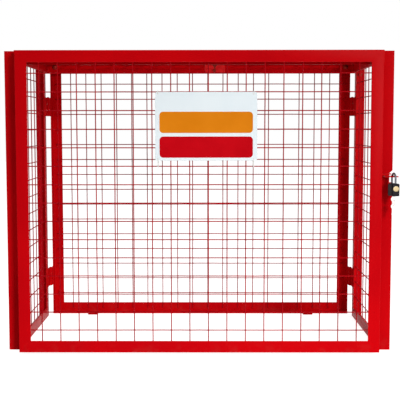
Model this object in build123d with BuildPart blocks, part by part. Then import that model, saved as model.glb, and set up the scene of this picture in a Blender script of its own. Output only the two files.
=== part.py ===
"""Gas cylinder cage: five welded mesh panels framed in steel angle, with a hinged front door.

Millimetres, +Z up, front towards -Y. The origin is on the floor, midway between the two floor-fixing holes
at the back of the cage.
"""

import os
from math import cos, radians, sin, sqrt

from build123d import *

os.makedirs("parts", exist_ok=True)

# Driving dimensions of the cage
panel_height = 905.0
door_width = 1073.0
cage_depth = 640.0
door_floor_clearance = 9.0
door_top_drop = 3.0
roof_to_door_gap = 6.0

# Steel angle of every frame
angle_leg = 35.0
angle_thickness = 3.0
angle_root_radius = 2.5

# Welded mesh
wire_size = 3.0
mesh_pitch_across = 55.0
mesh_pitch_up = 54.3
mesh_pitch_deep = 55.0
mesh_overlap = 20.0

# Weld-on butt hinges, two at each rear corner and two on the door
hinge_length = 66.0
hinge_barrel_diameter = 10.0
hinge_barrel_sides = 12
hinge_leaf_thickness = 2.5
hinge_leaf_reach = 36.0
hinge_gap = 36.0
hinge_centre_below_top = 155.0
hinge_centre_above_floor = 140.0
hinge_running_clearance = 0.05
hinge_knuckle_gap = 0.4
hinge_pin_head_height = 2.0
hinge_pin_head_diameter = 8.5

# Floor-fixing lugs on the back panel
floor_lug_spacing = 780.0
floor_lug_width = 35.0
floor_lug_projection = 22.0
floor_lug_hole_inset = 11.0
floor_lug_hole_diameter = 9.0

# Catch plate inside the back edge of the roof
catch_centre_x = 52.0
catch_width = 69.0
catch_root_clearance = 0.5
catch_thickness = 3.0
catch_slot_width = 16.0
catch_slot_depth = 14.0
catch_hole_diameter = 8.5
catch_hole_height = 9.0

# Lock lugs and padlock at the door's free edge
lock_lug_top = 533.0
lock_lug_thickness = 3.0
lock_hole_diameter = 9.0
side_lug_setoff = 4.0
side_lug_width = 41.0
side_lug_reach = 44.0
door_lug_reach = 29.5
door_lug_width = 26.0
door_lug_rise = 6.0
door_lug_hole_inset = 12.0
lug_corner_cut = 5.0
shackle_diameter = 6.0
shackle_sides = 6
shackle_leg_spacing = 28.0
shackle_hang_clearance = 0.3
padlock_width = 38.0
padlock_height = 37.0
padlock_thickness = 24.0
padlock_corner_cut = 4.0
padlock_edge_cut = 1.0
padlock_turn = 10.0
padlock_hole_edge_distance = 17.0
padlock_hole_setback = 28.0
shackle_exposed_length = 16.0

# Sign plate tied to the front of the door mesh
sign_width = 298.0
sign_height = 200.0
sign_thickness = 2.0
sign_corner_radius = 6.0
sign_centre_x = 21.0
sign_centre_below_top = 224.0

# Planes of the five panels
back_face_y = floor_lug_projection - floor_lug_hole_inset + angle_leg
back_leg_front_y = back_face_y - angle_leg
door_face_y = back_face_y - cage_depth
side_front_y = door_face_y + angle_leg + hinge_gap
side_rear_y = back_leg_front_y - hinge_gap
side_face_x = door_width / 2 + hinge_barrel_diameter
door_bottom = door_floor_clearance
door_top = panel_height - door_top_drop
roof_front_y = door_face_y + angle_leg + roof_to_door_gap
hinge_heights = (hinge_centre_above_floor, panel_height - hinge_centre_below_top)
sign_centre_height = panel_height - sign_centre_below_top

front, rear = Vector(0, -1, 0), Vector(0, 1, 0)
left, right = Vector(-1, 0, 0), Vector(1, 0, 0)
down, up = Vector(0, 0, -1), Vector(0, 0, 1)


def angle_bar(name, length, corner, inward, leg_direction):
    """One side of a panel frame: an L-section with mitred ends.

    corner is the middle of the bar's outer edge, the flange runs inward across the panel, and the leg stands
    up from the outer edge.
    """
    base = Plane(origin=corner, x_dir=inward.cross(leg_direction), z_dir=leg_direction)
    half = length / 2
    with BuildPart() as bar:
        for width, height in ((angle_leg, angle_thickness), (angle_thickness, angle_leg)):
            with BuildSketch(base):
                Polygon((-half, 0), (half, 0), (half - width, width), (-half + width, width), align=None)
            extrude(amount=height)
        root = base.from_local_coords((0, angle_thickness, angle_thickness))
        fillet(bar.edges().sort_by_distance(root)[0], angle_root_radius)
    bar.part.label = name
    export_step(bar.part, f"parts/{name}.step")


def wire_count(opening, pitch, wire_on_centre):
    """Number of wires that fit an opening, with a wire or a gap on its centre line."""
    if wire_on_centre:
        return 2 * int(opening / 2 / pitch) + 1
    return 2 * int(opening / 2 / pitch + 0.5)


def mesh_sheet(name, centre, normal, upright, size, pitches, wires_on_centre):
    """A sheet of welded mesh: one layer of wires along upright, and one across them, fused at each crossing.

    centre lies on the flange face that carries the first layer, and normal points from it to the second.
    size is the frame's outer width across and its height along upright.
    """
    base = Plane(origin=centre, x_dir=upright.cross(normal), z_dir=normal)
    openings = [outer - 2 * angle_leg for outer in size]
    counts = [wire_count(*row) for row in zip(openings, pitches, wires_on_centre)]
    lengths = [opening + 2 * mesh_overlap for opening in openings]
    with BuildPart() as mesh:
        with BuildSketch(base):
            with GridLocations(pitches[0], 1, counts[0], 1):
                Rectangle(wire_size, lengths[1])
        extrude(amount=wire_size)
        with BuildSketch(base.offset(wire_size)):
            with GridLocations(1, pitches[1], 1, counts[1]):
                Rectangle(lengths[0], wire_size)
        extrude(amount=wire_size)
    mesh.part.label = name
    export_step(mesh.part, f"parts/{name}.step")


def framed_panel(name, centre, normal, upright, size, side_names, pitches, wires_on_centre):
    """Four angle bars round a sheet of mesh. centre is the middle of the flanges' outer face, and the legs
    stand along normal. side_names lists the bars at the upright end, its opposite, and the two sides."""
    across = upright.cross(normal)
    half_width, half_height = size[0] / 2, size[1] / 2
    edges = (
        (upright, half_height, size[0]),
        (upright * -1, half_height, size[0]),
        (across * -1, half_width, size[1]),
        (across, half_width, size[1]),
    )
    for side_name, (outward, reach, length) in zip(side_names, edges):
        angle_bar(f"{name}_{side_name}", length, centre + outward * reach, outward * -1, normal)
    mesh_centre = centre + normal * angle_thickness
    mesh_sheet(f"{name}_mesh", mesh_centre, normal, upright, size, pitches, wires_on_centre)


def barrel_outline(flat_radius, mode=Mode.ADD):
    """A many-sided outline of a hinge barrel or its bore, with flats facing along and across the leaf."""
    half_turn = 180 / hinge_barrel_sides
    RegularPolygon(flat_radius, hinge_barrel_sides, major_radius=False, rotation=half_turn, mode=mode)


def hinge_leaves(name, axis_x, axis_y, reach, plate_side, outer_knuckles):
    """The upper and lower leaf of a pair of hinges on one vertical axis.

    reach is the direction of the plate, and plate_side is 1 or -1 for the side of the axis it lies on. A leaf
    has either the two outer knuckles or the middle one.
    """
    barrel_radius = hinge_barrel_diameter / 2
    pin_bore_radius = barrel_radius - hinge_leaf_thickness
    knuckle_length = (hinge_length - 2 * hinge_knuckle_gap) / 3
    outer_step = 2 * (knuckle_length + hinge_knuckle_gap)
    knuckle_starts = (0, outer_step) if outer_knuckles else (outer_step / 2,)
    plate_start = barrel_radius + hinge_knuckle_gap
    plate_middle = plate_side * (barrel_radius - hinge_leaf_thickness / 2)
    with BuildPart() as leaves:
        for centre_height in hinge_heights:
            foot = centre_height - hinge_length / 2
            for start in knuckle_starts:
                base = Plane(origin=(axis_x, axis_y, foot + start), x_dir=reach, z_dir=up)
                with BuildSketch(base):
                    barrel_outline(barrel_radius)
                    with Locations((plate_start / 2, plate_middle)):
                        Rectangle(plate_start, hinge_leaf_thickness)
                    barrel_outline(pin_bore_radius, Mode.SUBTRACT)
                extrude(amount=knuckle_length)
            with BuildSketch(Plane(origin=(axis_x, axis_y, foot), x_dir=reach, z_dir=up)):
                with Locations(((plate_start + hinge_leaf_reach) / 2, plate_middle)):
                    Rectangle(hinge_leaf_reach - plate_start, hinge_leaf_thickness)
            extrude(amount=hinge_length)
    leaves.part.label = name
    export_step(leaves.part, f"parts/{name}.step")


def hinge_pins(name, axis_x, axis_y):
    """The upper and lower hinge pin on one vertical axis, each with a flat head that rests on its barrel."""
    bore_radius = hinge_barrel_diameter / 2 - hinge_leaf_thickness
    with BuildPart() as pins:
        for centre_height in hinge_heights:
            foot = centre_height - hinge_length / 2
            with BuildSketch(Plane.XY.offset(foot)):
                with Locations((axis_x, axis_y)):
                    Circle(bore_radius - hinge_running_clearance)
            extrude(amount=hinge_length)
            with BuildSketch(Plane.XY.offset(foot + hinge_length)):
                with Locations((axis_x, axis_y)):
                    RegularPolygon(hinge_pin_head_diameter / 2, hinge_barrel_sides)
            extrude(amount=hinge_pin_head_height)
    pins.part.label = name
    export_step(pins.part, f"parts/{name}.step")


# Back panel: flanges at the rear, legs and mesh towards the front
framed_panel(
    "back",
    Vector(0, back_face_y, panel_height / 2),
    front,
    up,
    (door_width, panel_height),
    ("top_rail", "bottom_rail", "left_stile", "right_stile"),
    (mesh_pitch_across, mesh_pitch_up),
    (False, True),
)

# Side panels: flanges towards the inside, legs and mesh outwards
for side, outward in (("left", left), ("right", right)):
    side_bars = ("front_stile", "rear_stile") if side == "right" else ("rear_stile", "front_stile")
    framed_panel(
        side,
        outward * side_face_x + Vector(0, (side_front_y + side_rear_y) / 2, panel_height / 2),
        outward,
        up,
        (side_rear_y - side_front_y, panel_height),
        ("top_rail", "bottom_rail", *side_bars),
        (mesh_pitch_deep, mesh_pitch_up),
        (True, True),
    )

# Roof panel: flanges on top, between the side panels, with its rear edge against the back panel's legs
framed_panel(
    "roof",
    Vector(0, (roof_front_y + back_leg_front_y) / 2, panel_height),
    down,
    front,
    (2 * side_face_x, back_leg_front_y - roof_front_y),
    ("front_rail", "rear_rail", "left_rail", "right_rail"),
    (mesh_pitch_across, mesh_pitch_deep),
    (False, True),
)

# Door: flanges at the front, legs and mesh towards the rear
framed_panel(
    "door",
    Vector(0, door_face_y, (door_bottom + door_top) / 2),
    rear,
    up,
    (door_width, door_top - door_bottom),
    ("top_rail", "bottom_rail", "lock_stile", "hinge_stile"),
    (mesh_pitch_across, mesh_pitch_up),
    (False, True),
)

# Rear hinges, between the back panel's legs and the side panels
rear_hinge_y = back_leg_front_y - hinge_gap / 2
hinge_x = door_width / 2 + hinge_barrel_diameter / 2
for side, sign in (("left", -1), ("right", 1)):
    hinge_leaves(f"{side}_rear_hinge_back_leaves", sign * hinge_x, rear_hinge_y, rear, sign, False)
    hinge_leaves(f"{side}_rear_hinge_side_leaves", sign * hinge_x, rear_hinge_y, front, sign, True)
    hinge_pins(f"{side}_rear_hinge_pins", sign * hinge_x, rear_hinge_y)

# Door hinges, between the door's left leg and the left side panel
door_hinge_y = side_front_y - hinge_gap / 2
hinge_leaves("door_hinge_door_leaves", -hinge_x, door_hinge_y, front, 1, False)
hinge_leaves("door_hinge_side_leaves", -hinge_x, door_hinge_y, rear, 1, True)
hinge_pins("door_hinge_pins", -hinge_x, door_hinge_y)

# Floor-fixing lugs, butted to the front edge of the back panel's bottom leg
for side, sign in (("left", -1), ("right", 1)):
    with BuildPart() as floor_lug:
        with BuildSketch(Plane.XY):
            with Locations((sign * floor_lug_spacing / 2, back_leg_front_y - floor_lug_projection / 2)):
                Rectangle(floor_lug_width, floor_lug_projection)
            with Locations((sign * floor_lug_spacing / 2, 0)):
                Circle(floor_lug_hole_diameter / 2, mode=Mode.SUBTRACT)
        extrude(amount=angle_thickness)
    floor_lug.part.label = f"{side}_floor_lug"
    export_step(floor_lug.part, f"parts/{side}_floor_lug.step")

# Catch plate on the front of the roof's rear leg, with a vee slot at its top and a hole below it
catch_height = angle_leg - angle_thickness - angle_root_radius - catch_root_clearance
catch_plane = Plane(
    origin=(catch_centre_x, back_leg_front_y - angle_thickness, panel_height - angle_leg),
    x_dir=right,
    z_dir=front,
)
with BuildPart() as catch_plate:
    with BuildSketch(catch_plane):
        with Locations((0, catch_height / 2)):
            Rectangle(catch_width, catch_height)
        Polygon(
            (-catch_slot_width / 2, catch_height),
            (catch_slot_width / 2, catch_height),
            (0, catch_height - catch_slot_depth),
            align=None,
            mode=Mode.SUBTRACT,
        )
        with Locations((0, catch_hole_height)):
            Circle(catch_hole_diameter / 2, mode=Mode.SUBTRACT)
    extrude(amount=catch_thickness)
catch_plate.part.label = "roof_catch_plate"
export_step(catch_plate.part, "parts/roof_catch_plate.step")

# Lock lug on the right side panel's front leg
side_lug_inner_x = side_face_x + side_lug_setoff
side_lug_outer_x = side_lug_inner_x + side_lug_width
padlock_hole_x = side_lug_outer_x - padlock_hole_edge_distance
padlock_hole_y = side_front_y - padlock_hole_setback
with BuildPart() as side_lug:
    with BuildSketch(Plane.XY.offset(lock_lug_top - lock_lug_thickness)) as side_lug_outline:
        with Locations(((side_lug_inner_x + side_lug_outer_x) / 2, side_front_y - side_lug_reach / 2)):
            Rectangle(side_lug_width, side_lug_reach)
        chamfer(side_lug_outline.vertices().group_by(Axis.Y)[0], lug_corner_cut)
        with Locations((padlock_hole_x, padlock_hole_y)):
            Circle(lock_hole_diameter / 2, mode=Mode.SUBTRACT)
    extrude(amount=lock_lug_thickness)
side_lug.part.label = "side_lock_lug"
export_step(side_lug.part, "parts/side_lock_lug.step")

# Lock lug on the door's right leg, above the side panel's lug
door_lug_bottom = lock_lug_top + door_lug_rise
door_lug_y = door_face_y + angle_leg - door_lug_width / 2
with BuildPart() as door_lug:
    with BuildSketch(Plane.XY.offset(door_lug_bottom)) as door_lug_outline:
        with Locations((door_width / 2 + door_lug_reach / 2, door_lug_y)):
            Rectangle(door_lug_reach, door_lug_width)
        chamfer(door_lug_outline.vertices().group_by(Axis.X)[-1], lug_corner_cut)
        with Locations((door_width / 2 + door_lug_reach - door_lug_hole_inset, door_lug_y)):
            Circle(lock_hole_diameter / 2, mode=Mode.SUBTRACT)
    extrude(amount=lock_lug_thickness)
door_lug.part.label = "door_lock_lug"
export_step(door_lug.part, "parts/door_lock_lug.step")

# Padlock, hung by its shackle in the side panel's lug: the rear leg passes the hole, and the bow rests on
# the rim of the hole
shackle_radius = shackle_diameter / 2
bow_radius = shackle_leg_spacing / 2
bow_inner_radius = bow_radius - shackle_radius
rim_offset = bow_radius - lock_hole_diameter / 2
bow_centre_height = lock_lug_top - sqrt(bow_inner_radius**2 - rim_offset**2) + shackle_hang_clearance
padlock_top = bow_centre_height - shackle_exposed_length
turn = radians(padlock_turn)
shackle_along = Vector(sin(turn), -cos(turn), 0)
padlock_centre = Vector(padlock_hole_x, padlock_hole_y, 0) + shackle_along * bow_radius
shackle_plane = Plane(
    origin=padlock_centre + up * bow_centre_height,
    x_dir=shackle_along,
    z_dir=shackle_along.cross(up),
)
shackle_foot = -shackle_exposed_length

with BuildPart() as shackle:
    with BuildLine(shackle_plane) as shackle_path:
        rear_leg = Line((-bow_radius, shackle_foot), (-bow_radius, 0))
        bow = ThreePointArc((-bow_radius, 0), (0, bow_radius), (bow_radius, 0))
        front_leg = Line((bow_radius, 0), (bow_radius, shackle_foot))
    with BuildSketch(Plane(origin=rear_leg @ 0, z_dir=up)):
        RegularPolygon(shackle_radius, shackle_sides)
    sweep()
shackle.part.label = "padlock_shackle"
export_step(shackle.part, "parts/padlock_shackle.step")

body_plane = Plane(origin=padlock_centre + up * (padlock_top - padlock_height), x_dir=shackle_along, z_dir=up)
with BuildPart() as padlock_body:
    with BuildSketch(body_plane) as padlock_outline:
        Rectangle(padlock_width, padlock_thickness)
        chamfer(padlock_outline.vertices(), padlock_corner_cut)
    extrude(amount=padlock_height)
    chamfer(padlock_body.faces().filter_by(Axis.Z).edges(), padlock_edge_cut)
padlock_body.part.label = "padlock_body"
export_step(padlock_body.part, "parts/padlock_body.step")

# Sign plate, on the front of the door mesh
sign_plane = Plane(
    origin=(sign_centre_x, door_face_y + angle_thickness, sign_centre_height), x_dir=right, z_dir=front
)
with BuildPart() as sign_plate:
    with BuildSketch(sign_plane):
        RectangleRounded(sign_width, sign_height, sign_corner_radius)
    extrude(amount=sign_thickness)
sign_plate.part.label = "sign_plate"
export_step(sign_plate.part, "parts/sign_plate.step")
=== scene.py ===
"""Dressed scene of a gas cylinder cage: powder-coated angle frames, welded wire, hinges, padlock and sign.

Every length is in metres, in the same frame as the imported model. Pieces take their places from the model's
nodes, and the sizes that the model doesn't hold are fields of the classes below.
"""

from __future__ import annotations

import logging
import math
import random
from dataclasses import dataclass, field, replace
from enum import Enum
from typing import Callable, ClassVar, Iterable, Optional, Sequence

import bpy
import bmesh
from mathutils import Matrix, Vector

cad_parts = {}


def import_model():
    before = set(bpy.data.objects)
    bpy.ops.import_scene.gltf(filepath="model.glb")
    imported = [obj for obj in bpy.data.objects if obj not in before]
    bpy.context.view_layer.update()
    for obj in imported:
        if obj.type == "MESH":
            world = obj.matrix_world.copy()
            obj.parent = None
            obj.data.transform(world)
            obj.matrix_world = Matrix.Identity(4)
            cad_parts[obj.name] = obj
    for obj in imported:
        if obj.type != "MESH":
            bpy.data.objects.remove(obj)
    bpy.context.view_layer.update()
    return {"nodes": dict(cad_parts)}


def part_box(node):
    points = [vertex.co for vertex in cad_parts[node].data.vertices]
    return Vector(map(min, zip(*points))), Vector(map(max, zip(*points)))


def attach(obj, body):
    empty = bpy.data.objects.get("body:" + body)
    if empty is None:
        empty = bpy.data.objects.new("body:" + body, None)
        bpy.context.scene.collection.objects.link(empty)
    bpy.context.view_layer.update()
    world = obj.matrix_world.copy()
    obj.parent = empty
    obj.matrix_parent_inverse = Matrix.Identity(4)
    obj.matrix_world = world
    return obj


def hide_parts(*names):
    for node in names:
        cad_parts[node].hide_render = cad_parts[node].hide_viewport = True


LOG = logging.getLogger("cylinder_cage")
MM = 0.001
WALL = 3 * MM
MESH_PITCH = 55 * MM
MESH_PITCH_UP = 54.3 * MM
HEXAGON = 6

Pair = tuple[float, float]
Triple = tuple[float, float, float]
Colour = Triple
Profile = Sequence[Pair]
Socket = bpy.types.NodeSocket

RIGHT = Vector((1, 0, 0))
REAR = Vector((0, 1, 0))
UP = Vector((0, 0, 1))
LEFT, FRONT, DOWN = -RIGHT, -REAR, -UP


class Slot(Enum):
    """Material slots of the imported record."""

    PAINT = "red_paint"
    WIRE = "red_wire"
    PADLOCK = "padlock_black"
    SHACKLE = "shackle_steel"
    SIGN = "sign_plastic"


class Body(Enum):
    """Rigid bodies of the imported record."""

    CAGE = "cage"
    DOOR = "door"


class Graph:
    """Short calls for building a node tree."""

    # A Mix node's sockets for colours share their names with those for numbers, so they go by place.
    MIX_FACTOR, MIX_FIRST, MIX_SECOND, MIX_RESULT = 0, 6, 7, 2

    def __init__(self, tree: bpy.types.NodeTree) -> None:
        """Keeps the tree that the calls add to."""
        self.tree = tree

    def node(self, kind: str, **inputs: object) -> bpy.types.Node:
        """Adds a node.

        Args:
            kind: The node's type without its ShaderNode prefix.
            inputs: Values or sockets, by input name with spaces as underscores.

        Returns:
            The new node.
        """
        node = self.tree.nodes.new("ShaderNode" + kind)
        for name, value in inputs.items():
            self.put(node, name.replace("_", " "), value)
        return node

    def put(self, node: bpy.types.Node, name: object, value: object) -> None:
        """Links a socket to an input, or sets the input's value.

        Args:
            node: The node.
            name: The input's name or index.
            value: A socket or a plain value.
        """
        if isinstance(value, Socket):
            self.tree.links.new(value, node.inputs[name])
        else:
            node.inputs[name].default_value = value

    def place(self, group: bpy.types.NodeTree, **inputs: object) -> bpy.types.Node:
        """Puts a shared group in this tree with its own values.

        Args:
            group: The group's tree.
            inputs: Values or sockets, by input name.

        Returns:
            The group's node.
        """
        node = self.node("Group")
        node.node_tree = group
        for name, value in inputs.items():
            self.put(node, name, value)
        return node

    def math(self, operation: str, *values: object, clamp: bool = False) -> Socket:
        """A Math node of one to three values.

        Args:
            operation: Blender's name of the operation.
            values: Numbers or sockets.
            clamp: Whether the result stays between 0 and 1.

        Returns:
            The result's socket.
        """
        node = self.node("Math")
        node.operation = operation
        node.use_clamp = clamp
        for index, value in enumerate(values):
            self.put(node, index, value)
        return node.outputs[0]

    def ramp(self, value: object, low: float, high: float) -> Socket:
        """A smooth step from 0 at low to 1 at high.

        Args:
            value: What is tested.
            low: Where the step starts.
            high: Where it ends.

        Returns:
            The result's socket.
        """
        node = self.node("MapRange")
        node.interpolation_type = "SMOOTHSTEP"
        for name, number in (("Value", value), ("From Min", low), ("From Max", high)):
            self.put(node, name, number)
        return node.outputs["Result"]

    def noise(self, vector: object, scale: object, detail: float) -> Socket:
        """A noise value between 0 and 1."""
        return self.node("TexNoise", Vector=vector, Scale=scale, Detail=detail).outputs[0]

    def mix(self, factor: object, first: object, second: object) -> Socket:
        """A colour that goes from first to second with the factor.

        Args:
            factor: The second colour's share.
            first: The colour at 0.
            second: The colour at 1.

        Returns:
            The colour's socket.
        """
        node = self.node("Mix")
        node.data_type = "RGBA"
        self.put(node, self.MIX_FACTOR, factor)
        self.put(node, self.MIX_FIRST, first)
        self.put(node, self.MIX_SECOND, second)
        return node.outputs[self.MIX_RESULT]

    def axes(self, vector: object) -> tuple[Socket, ...]:
        """The X, Y and Z of a vector."""
        return tuple(self.node("SeparateXYZ", Vector=vector).outputs)

    def seen(self) -> Socket:
        """1 for what the camera, a mirror or glass shows, and 0 for what only lights.

        Returns:
            The value's socket.
        """
        rays = self.node("LightPath").outputs
        direct = self.math("MAXIMUM", rays["Is Camera Ray"], rays["Is Transmission Ray"])
        return self.math("MAXIMUM", direct, rays["Is Glossy Ray"])


class SharedEffects:
    """Shader effects that more than one finish uses, each built once as a node group."""

    COARSE_SCALE: ClassVar[float] = 0.37
    COARSE_SHARE: ClassVar[float] = 0.6
    EDGE_SAMPLES: ClassVar[int] = 4
    EDGE_TURN: ClassVar[Pair] = (0.02, 0.25)
    EDGE_PATCHES: ClassVar[float] = 90.0
    GRIME_REACH: ClassVar[float] = 50 * MM
    GRIME_PATCHES: ClassVar[float] = 38.0
    GRIME_COVER: ClassVar[Pair] = (0.45, 0.72)
    MARK_RADII: ClassVar[Pair] = (0.6 * MM, 3.4 * MM)
    _built: ClassVar[dict[str, bpy.types.NodeTree]] = {}

    @classmethod
    def _group(
        cls,
        name: str,
        inputs: Sequence[str],
        outputs: Sequence[str],
        fill: Callable[[Graph, dict[str, Socket], bpy.types.Node], None],
    ) -> bpy.types.NodeTree:
        """Builds a group the first time that it is asked for.

        Args:
            name: The group's name.
            inputs: Names of the inputs: Vector is a vector, and the others are numbers.
            outputs: Names of the outputs, all of them numbers.
            fill: Adds the nodes between the group's inputs, by name, and its output node.

        Returns:
            The group's node tree.
        """
        if name not in cls._built:
            tree = bpy.data.node_groups.new(name, "ShaderNodeTree")
            for label in inputs:
                kind = "NodeSocketVector" if label == "Vector" else "NodeSocketFloat"
                tree.interface.new_socket(label, in_out="INPUT", socket_type=kind)
            for label in outputs:
                tree.interface.new_socket(label, in_out="OUTPUT", socket_type="NodeSocketFloat")
            given = tree.nodes.new("NodeGroupInput").outputs
            fill(Graph(tree), {label: given[label] for label in inputs}, tree.nodes.new("NodeGroupOutput"))
            cls._built[name] = tree
        return cls._built[name]

    @classmethod
    def grain(cls) -> bpy.types.NodeTree:
        """Fine relief and slow tone drift of a sprayed, moulded or rolled surface.

        Returns:
            A group with outputs Height, from 0 to 1, and Tone, from -1 to 1.
        """

        def fill(graph: Graph, given: dict[str, Socket], out: bpy.types.Node) -> None:
            """Two sizes of relief, and one slow drift.

            Args:
                graph: The group's graph.
                given: The group's inputs, by name.
                out: The group's output node.
            """
            vector, scale = given["Vector"], given["Scale"]
            fine = graph.noise(vector, scale, 2.0)
            coarse = graph.noise(vector, graph.math("MULTIPLY", scale, cls.COARSE_SCALE), 1.0)
            height = graph.math("MULTIPLY_ADD", coarse, cls.COARSE_SHARE, fine)
            drift = graph.noise(vector, given["Drift"], 3.0)
            graph.put(out, "Height", graph.math("DIVIDE", height, 1.0 + cls.COARSE_SHARE))
            graph.put(out, "Tone", graph.math("MULTIPLY_ADD", drift, 2.0, -1.0))

        return cls._group("surface grain", ("Vector", "Scale", "Drift"), ("Height", "Tone"), fill)

    @classmethod
    def edges(cls) -> bpy.types.NodeTree:
        """Edges that take their own tone: rubbed wear on bare metal and plastic, and a painted highlight on
        powder coat.

        Returns:
            A group with the output Mask, 1 on an edge and 0 on a flat.
        """

        def fill(graph: Graph, given: dict[str, Socket], out: bpy.types.Node) -> None:
            """Compares the normal with one that is rounded over the edge.

            Args:
                graph: The group's graph.
                given: The group's inputs, by name.
                out: The group's output node.
            """
            rounded = graph.node("Bevel", Radius=given["Radius"])
            rounded.samples = cls.EDGE_SAMPLES
            dot = graph.node("VectorMath")
            dot.operation = "DOT_PRODUCT"
            graph.put(dot, 0, rounded.outputs["Normal"])
            graph.put(dot, 1, graph.node("NewGeometry").outputs["Normal"])
            turned = graph.math("SUBTRACT", 1.0, dot.outputs["Value"])
            patches = graph.noise(given["Vector"], cls.EDGE_PATCHES, 3.0)
            graph.put(out, "Mask", graph.math("MULTIPLY", graph.ramp(turned, *cls.EDGE_TURN), patches))

        return cls._group("edge wear and painted edge highlights", ("Vector", "Radius"), ("Mask",), fill)

    @classmethod
    def floor_grime(cls) -> bpy.types.NodeTree:
        """Dust and scuffs that gather near the floor.

        Returns:
            A group with the output Mask, which fades out with height.
        """

        def fill(graph: Graph, given: dict[str, Socket], out: bpy.types.Node) -> None:
            """A fade with height, broken up by noise.

            Args:
                graph: The group's graph.
                given: The group's inputs, by name.
                out: The group's output node.
            """
            low = graph.node("MapRange", Value=graph.axes(given["Vector"])[2], From_Max=cls.GRIME_REACH)
            graph.put(low, "To Min", 1.0)
            graph.put(low, "To Max", 0.0)
            patches = graph.ramp(graph.noise(given["Vector"], cls.GRIME_PATCHES, 5.0), *cls.GRIME_COVER)
            graph.put(out, "Mask", graph.math("MULTIPLY", low.outputs["Result"], patches, clamp=True))

        return cls._group("floor grime", ("Vector",), ("Mask",), fill)

    @classmethod
    def weld_marks(cls) -> bpy.types.NodeTree:
        """A row of shallow marks where wire ends are welded behind a flange.

        Returns:
            A group with the output Mask, 1 at the middle of a mark.
        """

        def fill(graph: Graph, given: dict[str, Socket], out: bpy.types.Node) -> None:
            """Distance to the nearest point of two rows that mirror each other.

            Args:
                graph: The group's graph.
                given: The group's inputs, by name.
                out: The group's output node.
            """
            past_start = graph.math("SUBTRACT", given["Along"], given["Start"])
            steps = graph.math("DIVIDE", past_start, given["Pitch"])
            near = graph.math("SUBTRACT", steps, graph.math("ROUND", steps))
            along = graph.math("MULTIPLY", near, given["Pitch"])
            off_centre = graph.math("ABSOLUTE", graph.math("SUBTRACT", given["Across"], given["Centre"]))
            across = graph.math("SUBTRACT", off_centre, given["Row"])
            squares = graph.math("MULTIPLY_ADD", along, along, graph.math("MULTIPLY", across, across))
            distance = graph.math("SQRT", squares)
            graph.put(out, "Mask", graph.math("SUBTRACT", 1.0, graph.ramp(distance, *cls.MARK_RADII)))

        names = ("Along", "Across", "Pitch", "Start", "Centre", "Row")
        return cls._group("weld marks", names, ("Mask",), fill)


@dataclass(frozen=True)
class PanelMarks:
    """Where the weld marks of one panel's frame lie, in the plane of the panel."""

    across_axis: int
    upright_axis: int
    centre: Pair
    half_size: Pair
    pitches: Pair
    starts: Pair
    inset: float = 17 * MM

    def mask(self, graph: Graph, vector: object) -> Socket:
        """The marks of all four sides as one mask.

        Args:
            graph: The material's graph.
            vector: The object's coordinates.

        Returns:
            The mask's socket.
        """
        axes = graph.axes(vector)
        plane = (axes[self.across_axis], axes[self.upright_axis])
        rows = []
        for along, across in ((0, 1), (1, 0)):
            row = graph.place(
                SharedEffects.weld_marks(),
                Along=plane[along],
                Across=plane[across],
                Pitch=self.pitches[along],
                Start=self.starts[along],
                Centre=self.centre[across],
                Row=self.half_size[across] - self.inset,
            )
            rows.append(row.outputs["Mask"])
        return graph.math("MAXIMUM", *rows)


@dataclass(frozen=True)
class Finish:
    """What every finish has: two tones that drift into each other, a tone on its edges (wear on metal and
    plastic, a painted highlight on powder coat), and a gloss.
    """

    name: str
    colour: Colour
    shade: Colour
    edge: Colour
    roughness: float = 0.3

    def _start(self) -> tuple[bpy.types.Material, Graph, bpy.types.Node, Socket]:
        """The new material, its graph, its shader and the coordinates that its grain follows.

        Returns:
            The material, its graph, its shader and the object's coordinates.
        """
        material = bpy.data.materials.new(self.name)
        material.use_nodes = True
        graph = Graph(material.node_tree)
        shader = material.node_tree.nodes["Principled BSDF"]
        return material, graph, shader, graph.node("TexCoord").outputs["Object"]

    def _tones(
        self, graph: Graph, vector: Socket, drift: Socket, reach: float, edge_radius: float
    ) -> tuple[Socket, Socket]:
        """Shade and colour by a slow drift, with the edge tone on top, which on powder coat is a painted
        highlight.

        Args:
            graph: The material's graph.
            vector: The coordinates that the edge's patches follow.
            drift: The grain's drift, from -1 to 1.
            reach: The drift at which only one of the two tones shows.
            edge_radius: How far from an edge its tone shows.

        Returns:
            The drift as a share from 0 to 1, and the colour.
        """
        share = graph.ramp(drift, -reach, reach)
        colour = graph.mix(share, (*self.shade, 1), (*self.colour, 1))
        edge = graph.place(SharedEffects.edges(), Vector=vector, Radius=edge_radius)
        return share, graph.mix(edge.outputs["Mask"], colour, (*self.edge, 1))


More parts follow.
